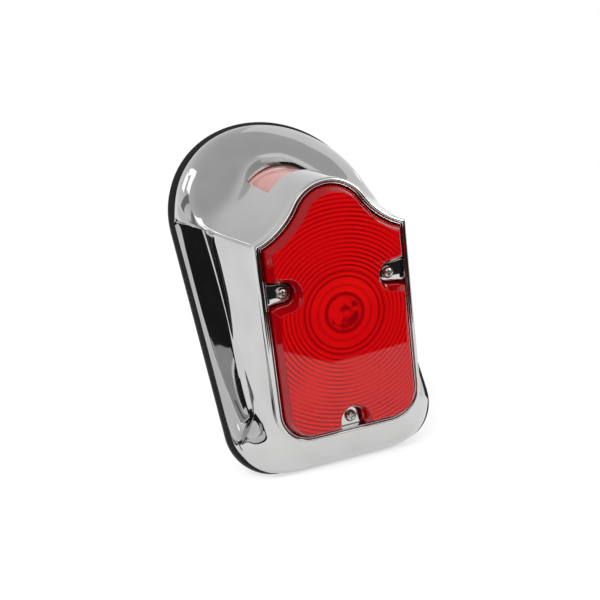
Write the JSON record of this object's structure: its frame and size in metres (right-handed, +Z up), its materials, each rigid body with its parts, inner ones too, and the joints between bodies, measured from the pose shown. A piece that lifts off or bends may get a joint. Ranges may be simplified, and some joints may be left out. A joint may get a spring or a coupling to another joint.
{
  "type": "tail light",
  "caption": "Tombstone-shaped chrome fender tail light with a removable ringed red lens, a plate window on top and a sprung bayonet bulb holder.",
  "frame": {"origin": "centre of the base gasket's back face, where the light bears on the fender", "axes": "+Z up and +X to the right as the light is seen from behind the motorcycle; the lens faces -Y; the mounting face leans 32 degrees from the lens plane and looks back along (0, 0.848, -0.530)"},
  "size_m": [0.1084, 0.1283, 0.1618],
  "materials": {
    "chrome": "mirror-polished chrome plate",
    "red_lens": "clear-moulded red acrylic",
    "seal_rubber": "soft black seal rubber",
    "gasket_rubber": "black sheet rubber",
    "screw_steel": "nickel-plated steel",
    "zinc_steel": "bright zinc-plated steel",
    "clear_pane": "clear acrylic",
    "spring_steel": "bare spring steel",
    "nickel_brass": "nickel-plated brass",
    "laminate": "brown paper laminate",
    "brass": "bare brass",
    "black_glass": "fused black glass",
    "solder": "solder and nickel wire",
    "bulb_glass": "blown clear glass",
    "tungsten": "tungsten coil"
  },
  "bodies": {
    "housing_unit": {"housing": "chrome", "lens_seal": "seal_rubber", "rivet_nuts": "zinc_steel", "window_pane": "clear_pane", "window_seal": "seal_rubber", "window_frame": "spring_steel", "base_gasket": "gasket_rubber", "back_plate": "zinc_steel", "mount_nuts": "zinc_steel", "plate_lugs": "zinc_steel", "plate_screws": "screw_steel", "cable_grommet": "gasket_rubber", "holder_bracket": "zinc_steel", "bulb_holder": "nickel_brass", "bracket_rivets": "screw_steel", "holder_end_disc": "laminate", "contact_spring": "spring_steel"},
    "lens_cover": {"lens": "red_lens", "lens_bezel": "chrome", "lens_screws": "screw_steel"},
    "contact_carrier": {"contact_disc": "laminate", "spring_contacts": "brass"},
    "bulb": {"bulb_cap": "brass", "bulb_button": "black_glass", "bulb_contacts": "solder", "bulb_pins": "brass", "bulb_glass": "bulb_glass", "bulb_stem": "bulb_glass", "support_wires": "solder", "bulb_filaments": "tungsten"}
  },
  "joints": [
    {"name": "lens_removal", "type": "slide", "parent": "housing_unit", "child": "lens_cover", "axis": [0, -1, 0], "range_m": [0, 0.06]},
    {"name": "bulb_push", "type": "slide", "parent": "housing_unit", "child": "contact_carrier", "axis": [0, 1, 0], "range_m": [0, 0.002], "stiffness_N_per_m": 1500, "springref_m": -0.002, "deforming": ["contact_spring"]},
    {"name": "bulb_twist", "type": "hinge", "parent": "contact_carrier", "child": "bulb", "pos_m": [0, -0.03, 0.002], "axis": [0, -1, 0], "range_deg": [0, 25]}
  ]
}
